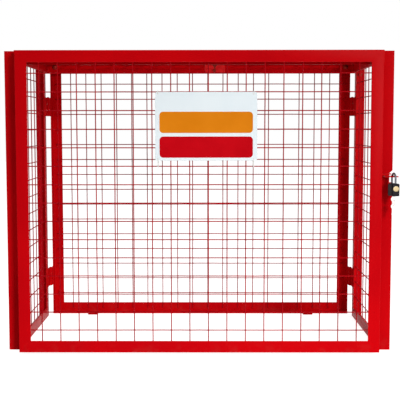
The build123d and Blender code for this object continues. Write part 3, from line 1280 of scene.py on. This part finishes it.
@dataclass
class PlateFittings:
    """Small welded plates: floor lugs, the roof's catch plate and door stop, and the two lock lugs."""

    FLOOR_SEED: ClassVar[int] = 40
    SIDE_SEED: ClassVar[int] = 51
    DOOR_SEED: ClassVar[int] = 53
    CATCH_SEED: ClassVar[int] = 61
    STOP_SEED: ClassVar[int] = 70
    corner: float = 5 * MM
    corner_steps: int = 5
    edge_ease: float = 0.45 * MM
    outline_step: float = 3 * MM
    lug_hole_radius: float = 4.5 * MM
    floor_bead_radius: float = 1.8 * MM
    lock_bead_radius: float = 1.7 * MM
    bead_radius: float = 1.6 * MM
    bead_end: float = 2 * MM
    catch_hole_radius: float = 4.25 * MM
    catch_hole_drop: float = 20 * MM
    catch_bead_top: float = 3 * MM
    slot_width: float = 16 * MM
    slot_floor: float = 1.2 * MM
    slot_depth: float = 14 * MM
    # The dark wedge in the catch plate's slot is painted shade.
    shade_wedge_gap: float = 0.3 * MM
    shade_wedge_thickness: float = 2.4 * MM
    shade_wedge_ease: float = 0.2 * MM
    screw_width: float = 11.5 * MM
    screw_shank: float = 3.6 * MM
    screw_heights: Pair = (7.4 * MM, 8 * MM)
    screw_crown: float = 0.88
    stop_drop: float = 7.5 * MM
    stop_height: float = 14 * MM
    stop_end_gap: float = 6 * MM
    stop_ease: float = 0.5 * MM
    stop_beads: int = 8
    stop_bead_mm: float = 18
    door_hole: Pair = (0.554, -0.572)
    side_hole: Pair = (0.5745, -0.551)
    side_bead_end: float = 0.568

    def build(self) -> None:
        """Makes each plate and welds it to what carries it."""
        for lug in self._floor_lugs():
            self._lug(lug)
        self._catch_plate()
        self._screw_and_shade_wedge()
        self._door_stop()
        for lug in self._lock_lugs():
            self._lug(lug)

    def _drilled(
        self, shell: Shell, outline: Sequence[Vector], hole: Vector, radius: float, rise: Vector
    ) -> None:
        """A plate with one round hole, whose whole outline can be seen from the hole.

        Args:
            shell: What the plate is added to.
            outline: Corners of the lower face.
            hole: The hole's centre on the lower face.
            radius: The hole's radius.
            rise: From the lower face to the upper one.
        """
        points = []
        for index, corner in enumerate(outline):
            after = outline[(index + 1) % len(outline)]
            steps = max(1, round((after - corner).length / self.outline_step))
            points.extend(corner.lerp(after, step / steps) for step in range(steps))
        ways = [(point - hole).normalized() for point in points]
        ease, up = self.edge_ease, rise.normalized()
        levels = ((0, ease), (ease, 0), (rise.length - ease, 0), (rise.length, ease))
        rings = []
        for height, inset in levels:
            rings.append([point - way * inset + up * height for point, way in zip(points, ways)])
        for height, reach in reversed(levels):
            rings.append([hole + way * (radius + reach) + up * height for way in ways])
        shell.skin(rings, looped=True)

    def _lug(self, lug: DrilledLug) -> None:
        """One lug with its beads.

        Args:
            lug: The lug's outline, hole and beads.
        """
        shell = Shell()
        low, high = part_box(lug.name)
        outline = [Vector((x, y, low.z)) for x, y in lug.square]
        for x, y, first, last in lug.rounded:
            corner = arc((x, y), self.corner, first, last, self.corner_steps)
            outline.extend(Vector((*point, low.z)) for point in corner)
        rise = UP * (high.z - low.z)
        self._drilled(shell, outline, Vector((*lug.hole, low.z)), self.lug_hole_radius, rise)
        for index, (start, end, height) in enumerate(lug.beads):
            ends = (Vector((*start, height)), Vector((*end, height)))
            shell.bead(*ends, lug.bead_radius, lug.first_seed + index)
        shell.piece(f"{lug.name}_welded", RED, Slot.PAINT, lug.body, [lug.name])

    def _floor_lugs(self) -> list[DrilledLug]:
        """The two lugs on the floor, with round front corners.

        Returns:
            Both lugs, left and right.
        """
        lugs = []
        for index, name in enumerate(("left_floor_lug", "right_floor_lug")):
            low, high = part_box(name)
            left, right, front = low.x + self.corner, high.x - self.corner, low.y + self.corner
            start, end = (low.x + self.bead_end, high.y), (high.x - self.bead_end, high.y)
            lug = DrilledLug(
                name,
                Body.CAGE,
                square=((low.x, high.y), (high.x, high.y)),
                rounded=((right, front, 360, 270), (left, front, 270, 180)),
                hole=((low.x + high.x) / 2, 0),
                beads=[(start, end, high.z)],
                bead_radius=self.floor_bead_radius,
                first_seed=self.FLOOR_SEED + index,
            )
            lugs.append(lug)
        return lugs

    def _lock_lugs(self) -> list[DrilledLug]:
        """The side panel's lug, which carries the padlock, and the door's lug, which meets it.

        Returns:
            Both lugs, the side panel's first.
        """
        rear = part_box("right_front_stile")[0].y
        lugs = []
        for name, body, hole, first_seed in (
            ("side_lock_lug", Body.CAGE, self.side_hole, self.SIDE_SEED),
            ("door_lock_lug", Body.DOOR, self.door_hole, self.DOOR_SEED),
        ):
            low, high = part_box(name)
            right, front, back = high.x - self.corner, low.y + self.corner, high.y - self.corner
            if body is Body.CAGE:
                start, end = (low.x + self.bead_end, rear), (self.side_bead_end, rear)
            else:
                start, end = (low.x, low.y + self.bead_end), (low.x, high.y - self.bead_end)
            lug = DrilledLug(
                name,
                body,
                square=((low.x, high.y), (low.x, low.y)),
                rounded=((right, front, 270, 360), (right, back, 0, 90)),
                hole=hole,
                beads=[(start, end, high.z), (start, end, low.z)],
                bead_radius=self.lock_bead_radius,
                first_seed=first_seed,
            )
            lugs.append(lug)
        return lugs

    def _catch_plate(self) -> None:
        """The upright plate with a vee slot and a hole, and its weld beads."""
        shell = Shell()
        low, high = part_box("roof_catch_plate")
        middle = (low.x + high.x) / 2
        half, narrow, slot_z = self.slot_width / 2, self.slot_floor / 2, high.z - self.slot_depth
        corners = (
            (low.x, low.z), (high.x, low.z), (high.x, high.z), (middle + half, high.z),
            (middle + narrow, slot_z), (middle - narrow, slot_z), (middle - half, high.z), (low.x, high.z),
        )
        self.catch_hole = Vector((middle, high.y, high.z - self.catch_hole_drop))
        outline = [Vector((x, high.y, z)) for x, z in corners]
        self._drilled(shell, outline, self.catch_hole, self.catch_hole_radius, FRONT * (high.y - low.y))
        for index, x in enumerate((low.x, high.x)):
            start = Vector((x, high.y, low.z + self.bead_end))
            end = Vector((x, high.y, high.z - self.catch_bead_top))
            shell.bead(start, end, self.bead_radius, self.CATCH_SEED + index)
        # The catch plate's lighter red is painted light.
        shell.piece("roof_catch_plate_welded", CATCH_RED_WITH_PAINTED_LIGHT, Slot.PAINT, Body.CAGE, ["roof_catch_plate"])

    def _screw_and_shade_wedge(self) -> None:
        """A dark wedge filling the catch plate's slot, which is painted shade, and the screw head under it.
        """
        shell = Shell()
        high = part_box("roof_catch_plate")[1]
        hole, gap = self.catch_hole, self.shade_wedge_gap
        wide, foot = self.slot_width / 2 - gap, high.z - self.slot_depth + gap
        corners = ((wide, high.z), (gap, foot), (-gap, foot), (-wide, high.z))
        wedge = [Vector((hole.x + x, high.y, z)) for x, z in corners]
        # The wedge is a dark sheet of painted shade in the slot.
        shell.plate(wedge, FRONT, self.shade_wedge_thickness, self.shade_wedge_ease)
        corner = self.screw_width / math.sqrt(3)
        shoulder, top = self.screw_heights
        profile = (
            (-WALL, self.screw_shank), (WALL, self.screw_shank), (WALL, corner),
            (shoulder, corner), (top, corner * self.screw_crown),
        )
        shell.turned(hole, FRONT, profile, HEXAGON, math.pi / HEXAGON)
        shell.piece("roof_catch_screw_and_shade_wedge", BOLT_RED_WITH_PAINTED_SHADE, Slot.SHACKLE, Body.CAGE)

    def _door_stop(self) -> None:
        """A flat bar welded inside the roof's front leg, which the door's top rail closes in front of."""
        shell = Shell()
        low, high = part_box("roof_front_rail")
        leg_rear = low.y + WALL
        left, right = low.x + self.stop_end_gap, high.x - self.stop_end_gap
        bottom, top = low.z - self.stop_drop, low.z + self.stop_height
        corners = ((left, bottom), (right, bottom), (right, top), (left, top))
        shell.plate([Vector((x, leg_rear, z)) for x, z in corners], REAR, WALL, self.stop_ease)
        for index in range(self.stop_beads):
            middle = left + (right - left) * (index + 0.5) / self.stop_beads
            start = Vector((middle - self.stop_bead_mm / 2 * MM, leg_rear + WALL / 2, top))
            end = start + RIGHT * self.stop_bead_mm * MM
            shell.bead(start, end, self.bead_radius, self.STOP_SEED + index)
        shell.piece("roof_door_stop", RED, Slot.PAINT, Body.CAGE)


@dataclass
class Fasteners:
    """Hexagon bolts with washers and nuts that hold the roof to the other panels."""

    head_across_flats: float = 13 * MM
    head_height: float = 5.3 * MM
    head_ease: float = 0.7 * MM
    head_crown: float = 0.86
    washer_radius: float = 8.5 * MM
    washer_height: float = 1.6 * MM
    washer_ease: float = 0.3 * MM
    washer_sides: int = 28
    shank_radius: float = 4 * MM
    shank_ease: float = 0.6 * MM
    shank_sides: int = 20
    leg_inset: float = 10 * MM
    side_setback: float = 60 * MM
    side_tail: float = 7 * MM
    rear_tail: float = 4 * MM
    side_turns: tuple[Pair, Pair] = ((0.3, 0.5), (0.9, 0.1))
    corner_inset: float = 28 * MM
    rear_drop: float = 14 * MM
    rear_turns: Pair = (0.2, 0.7)
    stile_bolts: tuple[Triple, ...] = ((-0.562, 0.876, 0.4), (0.564, 0.864, 0.9))

    def _head(self, shell: Shell, seat: Vector, axis: Vector, turn: float) -> None:
        """A washer and a hexagon head on a surface.

        Args:
            shell: What the head is added to.
            seat: Its centre on the surface.
            axis: The way that it stands out.
            turn: Its turn about that axis, in radians.
        """
        base, radius, ease = self.washer_height, self.washer_radius, self.washer_ease
        washer = ((0, radius), (base - ease, radius), (base, radius - ease))
        shell.turned(seat, axis, washer, self.washer_sides)
        corner = self.head_across_flats / math.sqrt(3)
        top = base + self.head_height
        profile = ((base, corner), (top - self.head_ease, corner), (top, corner * self.head_crown))
        shell.turned(seat, axis, profile, HEXAGON, turn)

    def _tail(self, shell: Shell, seat: Vector, axis: Vector, turn: float, length: float) -> None:
        """A washer, a nut and the end of the shank.

        Args:
            shell: What the nut is added to.
            seat: Its centre on the surface.
            axis: The way that it stands out.
            turn: Its turn about that axis, in radians.
            length: How far the shank stands past the nut.
        """
        self._head(shell, seat, axis, turn)
        end = self.washer_height + self.head_height + length
        radius, ease = self.shank_radius, self.shank_ease
        profile = ((self.washer_height, radius), (end - ease, radius), (end, radius - ease))
        shell.turned(seat, axis, profile, self.shank_sides)

    def build(self) -> None:
        """Bolts through the roof's side and rear legs and through the top of each side panel's rear leg."""
        shell = Shell()
        roof_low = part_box("roof_left_rail")[0]
        right_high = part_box("roof_right_rail")[1]
        rear_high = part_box("roof_rear_rail")[1]
        y, height = roof_low.y + self.side_setback, roof_low.z + self.leg_inset
        legs = ((roof_low.x + WALL, RIGHT), (right_high.x - WALL, LEFT))
        for (x, inward), (head_turn, tail_turn) in zip(legs, self.side_turns):
            seat = Vector((x, y, height))
            self._head(shell, seat, inward, head_turn)
            self._tail(shell, seat - inward * 2 * WALL, -inward, tail_turn, self.side_tail)
        corners = (roof_low.x + self.corner_inset, right_high.x - self.corner_inset)
        rear_seats = [(x, rear_high.z - self.rear_drop, turn) for x, turn in zip(corners, self.rear_turns)]
        leg_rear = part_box("left_rear_stile")[1].y
        for seats, rear in ((rear_seats, rear_high.y), (self.stile_bolts, leg_rear)):
            for x, z, turn in seats:
                seat = Vector((x, rear, z))
                self._head(shell, seat + FRONT * WALL, FRONT, turn)
                self._tail(shell, seat, REAR, turn, self.rear_tail)
        # The bolts' dark red holds painted shade.
        shell.piece("roof_bolts", BOLT_RED_WITH_PAINTED_SHADE, Slot.SHACKLE, Body.CAGE)


@dataclass(frozen=True)
class Key:
    """A flat key: a round head with a hole, and a blade with cuts."""

    head_radius: float = 8.5 * MM
    hole_radius: float = 2.6 * MM
    hole_shift: float = 3.6 * MM
    rim: float = 0.3 * MM
    rim_share: float = 0.7
    thickness: float = 1.8 * MM
    blade_half_width: float = 3.2 * MM
    blade_root: float = 1 * MM
    blade_tip: float = 2.5 * MM
    cuts: tuple[float, ...] = (0.0, 1.2, 0.2, 1.9, 0.8, 2.2, 0.5, 1.4, 0.3)
    cut_span: Pair = (0.25, 0.65)
    sides: int = 32

    def add(self, shell: Shell, head: Vector, down: Vector, flat: Vector, blade: float) -> None:
        """Adds a key.

        Args:
            shell: What the key is added to.
            head: Centre of the head.
            down: Unit direction from the head to the blade's tip.
            flat: Unit normal of the key's flat sides.
            blade: Length of the blade past the head.
        """
        wide = down.cross(flat)
        hole_centre = head - down * self.hole_shift
        inner = self.head_radius - self.rim
        outer, share = self.head_radius, self.rim_share
        rim = ((inner, -1), (outer, -share), (outer, share), (inner, 1))
        half_thickness = flat * (self.thickness / 2)
        rings = []
        for way in spokes(down, wide, self.sides):
            ring = [hole_centre + way * self.hole_radius - half_thickness]
            ring += [head + way * reach + half_thickness * side for reach, side in rim]
            ring.append(hole_centre + way * self.hole_radius + half_thickness)
            rings.append(ring)
        shell.skin(rings, looped=True)
        start, half = self.head_radius - self.blade_root, self.blade_half_width
        outline = [(0.0, -half)]
        for index, cut in enumerate(self.cuts):
            share = self.cut_span[0] + self.cut_span[1] * index / (len(self.cuts) - 1)
            outline.append((blade * share, cut * MM - half))
        outline += [(blade, 0.0), (blade - self.blade_tip, half), (0.0, half)]
        lower = [head + down * (start + run) + wide * off - half_thickness for run, off in outline]
        shell.skin([lower, [point + half_thickness * 2 for point in lower]])


@dataclass
class Padlock:
    """A padlock with a lacquered body, a bare brass oval on its front, a steel shackle and two keys.

    The case is a stack of rings, each with its height and inset in millimetres on a case of full_height.
    """

    width: float = 38 * MM
    thickness: float = 24 * MM
    full_height: float = 37 * MM
    corner: float = 4.5 * MM
    case_rings: tuple[Pair, ...] = (
        (0.0, 2.2), (0.5, 1.0), (1.4, 0.3), (2.4, 0.0), (6.6, 0.0), (6.9, 0.5), (7.5, 0.5), (7.8, 0.0),
        (34.0, 0.0), (35.4, 0.3), (36.4, 1.0), (37.0, 2.4),
    )
    collar: tuple[Pair, Pair] = ((-0.5 * MM, 5 * MM), (0.6 * MM, 4.6 * MM))
    corner_steps: int = 5
    collar_sides: int = 24
    shackle_radius: float = 3 * MM
    shackle_sides: int = 20
    leg_spacing: float = 28 * MM
    oval_width: float = 18.5 * MM
    oval_height: float = 16 * MM
    oval_centre: float = 22 * MM
    oval_sides: int = 32
    oval_rings: tuple[Pair, ...] = ((0.0, 1.0), (0.5, 1.0), (0.8, 0.94), (0.95, 0.7), (1.0, 0.35))
    turn_degrees: float = 10.0
    key_forward: float = 3 * MM
    key_drop: float = 9.5 * MM
    upper_blade: float = 6 * MM
    upper_facing: Pair = (0.93, 0.36)
    lower_blade: float = 20 * MM
    lower_facing: Pair = (0.94, 0.34)
    lower_lean: float = 7.0
    ring_radius: float = 8 * MM
    ring_wire: float = 0.7 * MM
    ring_gaps: Pair = (2.5 * MM, 3 * MM)
    ring_steps: int = 28
    ring_sides: int = 8

    def build(self) -> None:
        """The body, shackle, oval and keys."""
        low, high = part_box("padlock_body")
        turn = math.radians(self.turn_degrees)
        self.forward = Vector((math.sin(turn), -math.cos(turn), 0))
        self.side = self.forward.cross(UP)
        self.centre = Vector(((low.x + high.x) / 2, (low.y + high.y) / 2, low.z))
        self.height = high.z - low.z
        self._body()
        self._shackle()
        self._oval()
        self._keys()

    def _at(self, forward: float, side: float, up: float) -> Vector:
        """A point from the middle of the body's foot."""
        return self.centre + self.forward * forward + self.side * side + UP * up

    def _body(self) -> None:
        """The body as a stack of rounded outlines, with a groove near its foot and a collar on top."""
        shell = Shell()
        rings = []
        for up, inset in self.case_rings:
            trim = 2 * inset * MM
            sizes = (self.width - trim, self.thickness - trim)
            outline = rounded_outline(*sizes, self.corner, self.corner_steps)
            rings.append([self._at(x, y, up * MM * self.height / self.full_height) for x, y in outline])
        shell.skin(rings)
        collar = [(self.height + rise, radius) for rise, radius in self.collar]
        for forward in (-self.leg_spacing / 2, self.leg_spacing / 2):
            shell.turned(self._at(forward, 0, 0), UP, collar, self.collar_sides)
        shell.piece("padlock_case", LACQUER, Slot.PADLOCK, Body.CAGE, ["padlock_body"])

    def _shackle(self) -> None:
        """The bow and both legs as one bent bar."""
        low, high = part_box("padlock_shackle")
        radius = self.leg_spacing / 2
        foot = low.z - self.centre.z
        bow = high.z - self.shackle_radius - radius - self.centre.z
        line = [(-radius, foot), *arc((0, bow), radius, 180, 0, self.shackle_sides), (radius, foot)]
        path = [self._at(forward, 0, up) for forward, up in line]
        shell = Shell()
        shell.tube(path, [self.shackle_radius] * len(path), self.side, self.shackle_sides)
        shell.piece("padlock_bow", DARK_STEEL, Slot.SHACKLE, Body.CAGE, ["padlock_shackle"])

    def _oval(self) -> None:
        """A domed brass oval on the narrow front face."""
        shell = Shell()
        ways = spokes(self.side * (self.oval_width / 2), UP * (self.oval_height / 2), self.oval_sides)
        rings = []
        for out, share in self.oval_rings:
            centre = self._at(self.width / 2 + out * MM, 0, self.oval_centre)
            rings.append([centre + way * share for way in ways])
        shell.skin(rings)
        shell.piece("padlock_brass_oval", BRASS, Slot.SHACKLE, Body.CAGE)

    def _facing(self, shares: Pair) -> Vector:
        """The unit direction with these shares of forward and side."""
        return (self.forward * shares[0] + self.side * shares[1]).normalized()

    def _keys(self) -> None:
        """One key in the lock's foot and one on a ring below it."""
        shell = Shell()
        key = Key()
        head = self._at(self.key_forward, 0, -self.key_drop)
        key.add(shell, head, UP, self._facing(self.upper_facing), self.upper_blade)
        ring_centre = head - UP * (self.ring_radius + self.ring_gaps[0])
        path = [ring_centre + way * self.ring_radius for way in spokes(UP, self.forward, self.ring_steps)]
        shell.tube(path, [self.ring_wire] * len(path), self.side, self.ring_sides, looped=True)
        lean = math.radians(self.lower_lean)
        down = (DOWN * math.cos(lean) + self.side * math.sin(lean)).normalized()
        flat = self._facing(self.lower_facing)
        flat = (flat - down * flat.dot(down)).normalized()
        lower_head = ring_centre - UP * (self.ring_radius + self.ring_gaps[1])
        key.add(shell, lower_head, down, flat, self.lower_blade)
        shell.piece("padlock_keys", NICKEL, Slot.SHACKLE, Body.CAGE)


@dataclass
class SignBoard:
    """A plain white board with two blank colour bars, tied to the door's wires at its corners."""

    corner: float = 6 * MM
    edge_ease: float = 0.4 * MM
    bar_margin: float = 12.4 * MM
    bar_height: float = 62 * MM
    bar_corner: float = 11 * MM
    orange_drop: float = 57.4 * MM
    red_drop: float = 129.6 * MM
    print_height: float = 0.15 * MM
    print_ease: float = 0.05 * MM
    corner_steps: int = 8
    tie_insets: Pair = (8 * MM, 10 * MM)
    tie_edge: float = 8 * MM
    tie_past_wire: float = 2.4 * MM
    tie_width: float = 2.6 * MM
    tie_thickness: float = 0.8 * MM
    tie_corner: float = 1.8 * MM
    tie_corner_steps: int = 4
    tie_least_reach: float = 0.02
    tie_head: float = 4.4 * MM
    tie_head_depth: float = 3 * MM
    tie_head_ease: float = 0.4 * MM
    tail_half_width: float = 1 * MM
    tail_length: float = 7 * MM
    tail_thickness: float = 0.9 * MM
    tail_ease: float = 0.2 * MM

    def build(self) -> None:
        """The board, its bars and its ties."""
        self.low, self.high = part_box("sign_plate")
        self.centre = (self.low + self.high) / 2
        width, height = self.high.x - self.low.x, self.high.z - self.low.z
        steps = self.corner_steps
        board = rounded_outline(width, height, self.corner, steps)
        bar = rounded_outline(width - 2 * self.bar_margin, self.bar_height, self.bar_corner, steps)
        rear, depth = (self.high.y, self.centre.z), (self.high.y - self.low.y, self.edge_ease)
        self._flat("sign_board", board, rear, depth, SIGN_WHITE, ["sign_plate"])
        depth = (self.print_height, self.print_ease)
        for name, drop, finish in (
            ("sign_orange_bar", self.orange_drop, SIGN_ORANGE),
            ("sign_red_bar", self.red_drop, SIGN_RED),
        ):
            rear = (self.low.y, self.high.z - drop - self.bar_height / 2)
            self._flat(name, bar, rear, depth, finish)
        self._ties()

    def _flat(
        self,
        name: str,
        outline: Profile,
        rear: Pair,
        depth: Pair,
        finish: MouldedPlastic,
        replaced: Iterable[str] = (),
    ) -> None:
        """The board itself, or a printed bar with nothing on it.

        Args:
            name: The piece's name.
            outline: Its outline, centred on 0.
            rear: Y of its rear face, and the height of its centre.
            depth: Its thickness, and how far its rims are eased in.
            finish: What it is made from.
            replaced: Nodes that it stands for.
        """
        shell = Shell()
        base = [Vector((self.centre.x + x, rear[0], rear[1] + z)) for x, z in outline]
        shell.plate(base, FRONT, *depth)
        shell.piece(name, finish, Slot.SIGN, Body.DOOR, replaced)

    def _ties(self) -> None:
        """Four ties: each goes through the board near an edge and round the nearest wire past that edge."""
        shell = Shell()
        wire_low, wire_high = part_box("door_mesh")
        middle = (wire_low.z + wire_high.z) / 2
        for x in (self.low.x + self.tie_insets[0], self.high.x - self.tie_insets[1]):
            for edge, way in ((self.high.z, 1), (self.low.z, -1)):
                hole = edge - way * self.tie_edge
                steps = way * (hole - middle) / MESH_PITCH_UP
                wire = middle + way * math.ceil(steps + self.tie_least_reach) * MESH_PITCH_UP
                self._tie(shell, x, hole, wire + way * self.tie_past_wire, wire_high.y)
        shell.piece("sign_ties", TIE_NYLON, Slot.SIGN, Body.DOOR)

    def _tie(self, shell: Shell, x: float, hole: float, far: float, back: float) -> None:
        """One flat strap as a closed loop, with its head behind the wire.

        Args:
            shell: What the tie is added to.
            x: Where it stands along X.
            hole: Height of the board's hole.
            far: Height of the strap's other end, past the wire.
            back: Where the wires' rear faces lie.
        """
        half = self.tie_thickness / 2
        front, rear = self.low.y - half, back + half
        centre_z = (hole + far) / 2
        height = abs(far - hole) + self.tie_thickness
        outline = rounded_outline(rear - front, height, self.tie_corner, self.tie_corner_steps)
        middle = Vector((x, (front + rear) / 2, centre_z))
        path = [middle + REAR * y + UP * z for y, z in outline]
        side = RIGHT * (self.tie_width / 2)
        rings = []
        for index, point in enumerate(path):
            ahead = (path[(index + 1) % len(path)] - path[index - 1]).normalized()
            out = ahead.cross(RIGHT) * half
            rings.append([point - side - out, point + side - out, point + side + out, point - side + out])
        shell.skin(rings, looped=True)
        rim, wide, foot = self.tie_head / 2, self.tail_half_width, -self.tie_head / 2 - self.tail_length
        head = ((-rim, -rim), (rim, -rim), (rim, rim), (-rim, rim))
        tail = ((-wide, -rim), (wide, -rim), (wide, foot), (-wide, foot))
        for corners, y, depth, ease in (
            (head, rear - half, self.tie_head_depth, self.tie_head_ease),
            (tail, rear + half, self.tail_thickness, self.tail_ease),
        ):
            base = [Vector((x + across, y, centre_z + up)) for across, up in corners]
            shell.plate(base, REAR, depth, ease)


@dataclass(frozen=True)
class Lamp:
    """A soft square lamp, with its side in metres, its power in watts and its beam's spread in degrees."""

    name: str
    place: Triple
    aim: Triple
    size: float
    power: float
    spread: float

    def build(self) -> None:
        """Sets up the lamp."""
        data = bpy.data.lights.new(self.name, "AREA")
        data.spread = math.radians(self.spread)
        data.size = self.size
        data.energy = self.power
        lamp = bpy.data.objects.new(self.name, data)
        lamp.location = self.place
        lamp.visible_camera = False
        lamp.rotation_euler = (Vector(self.aim) - Vector(self.place)).to_track_quat("-Z", "Y").to_euler()
        bpy.context.scene.collection.objects.link(lamp)


@dataclass
class Studio:
    """Pale floor, white surround, soft lamps and the camera."""

    WHITE: ClassVar[tuple[float, ...]] = (1.0, 1.0, 1.0, 1.0)
    focal_length: float = 81.0
    sensor_width: float = 36.0
    camera_place: Triple = (0.0173, -3.23, 0.682)
    camera_pitch: float = 0.08205
    camera_roll: float = 0.00085
    camera_yaw: float = 0.00543
    ambient: float = 0.28
    floor_half: float = 14.0
    floor_colour: tuple[float, ...] = (0.9, 0.9, 0.9, 1.0)
    floor_roughness: float = 0.85
    floor_specular: float = 0.1
    floor_glow: float = 0.8
    lamps: tuple[Lamp, ...] = (
        Lamp("key", (3.4, -8.4, 2.2), (0.0, -0.4, -1.15), 1.9, 37.0, 40.0),
        Lamp("top", (0.3, -0.6, 3.4), (0.0, -0.25, 0.4), 2.4, 26.0, 180.0),
    )

    def build(self) -> None:
        """Sets the stage and the view."""
        self._camera()
        self._world()
        self._floor()
        for lamp in self.lamps:
            lamp.build()
        bpy.context.scene.view_settings.view_transform = "Standard"

    def _camera(self) -> None:
        """The camera at the photograph's viewing angle."""
        data = bpy.data.cameras.new("camera")
        data.lens = self.focal_length
        data.sensor_width = self.sensor_width
        camera = bpy.data.objects.new("camera", data)
        camera.location = self.camera_place
        camera.rotation_euler = (math.pi / 2 - self.camera_pitch, self.camera_roll, self.camera_yaw)
        bpy.context.scene.collection.objects.link(camera)
        bpy.context.scene.camera = camera

    def _world(self) -> None:
        """White where the camera or a mirror looks, and a dimmer white for the light."""
        world = bpy.data.worlds.new("surround")
        bpy.context.scene.world = world
        world.use_nodes = True
        graph = Graph(world.node_tree)
        background = world.node_tree.nodes["Background"]
        graph.put(background, "Color", self.WHITE)
        strength = graph.math("MULTIPLY_ADD", graph.seen(), 1.0 - self.ambient, self.ambient)
        graph.put(background, "Strength", strength)

    def _floor(self) -> None:
        """A wide white floor that keeps the cage's shadow."""
        mesh = bpy.data.meshes.new("floor")
        half = self.floor_half
        corners = [(-half, -half, 0), (half, -half, 0), (half, half, 0), (-half, half, 0)]
        mesh.from_pydata(corners, [], [(0, 1, 2, 3)])
        floor = bpy.data.objects.new("floor", mesh)
        bpy.context.scene.collection.objects.link(floor)
        material = bpy.data.materials.new("studio floor")
        material.use_nodes = True
        graph = Graph(material.node_tree)
        shader = material.node_tree.nodes["Principled BSDF"]
        graph.put(shader, "Base Color", self.floor_colour)
        graph.put(shader, "Roughness", self.floor_roughness)
        graph.put(shader, "Specular IOR Level", self.floor_specular)
        graph.put(shader, "Emission Color", self.WHITE)
        graph.put(shader, "Emission Strength", graph.math("MULTIPLY", graph.seen(), self.floor_glow))
        mesh.materials.append(material)


def panels() -> list[AnglePanel]:
    """The five framed panels.

    Returns:
        The panels, each placed by the model's nodes.
    """
    rails, pitches = ("top_rail", "bottom_rail"), (MESH_PITCH, MESH_PITCH_UP)
    back_sides = (*rails, "left_stile", "right_stile")
    end_sides = (*rails, "front_stile", "rear_stile")
    roof_sides = ("front_rail", "rear_rail", "left_rail", "right_rail")
    door_sides = (*rails, "hinge_stile", "lock_stile")
    notch = LegNotch(low=0.513, high=0.540, kept_leg=25.5 * MM)
    return [
        AnglePanel("back", Body.CAGE, FRONT, UP, back_sides, (False, True), pitches, 11),
        AnglePanel("left", Body.CAGE, LEFT, UP, end_sides, (True, True), pitches, 12),
        AnglePanel("right", Body.CAGE, RIGHT, UP, end_sides, (True, True), pitches, 13, notch),
        AnglePanel("roof", Body.CAGE, DOWN, FRONT, roof_sides, (False, True), (MESH_PITCH, MESH_PITCH), 14),
        AnglePanel("door", Body.DOOR, REAR, UP, door_sides, (False, True), pitches, 15),
    ]


def main() -> None:
    """Builds the studio and dresses every part of the cage."""
    logging.basicConfig(level=logging.INFO, format="%(name)s: %(message)s")
    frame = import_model()
    nodes = frame["nodes"]
    Studio().build()
    for panel in panels():
        panel.frame()
        panel.wires()
    HingeColumn("left_rear_hinge", "back_leaves", "side_leaves", Body.CAGE, nodes).build()
    HingeColumn("right_rear_hinge", "back_leaves", "side_leaves", Body.CAGE, nodes).build()
    HingeColumn("door_hinge", "side_leaves", "door_leaves", Body.DOOR, nodes).build()
    PlateFittings().build()
    Fasteners().build()
    Padlock().build()
    SignBoard().build()


if __name__ == "__main__":
    main()
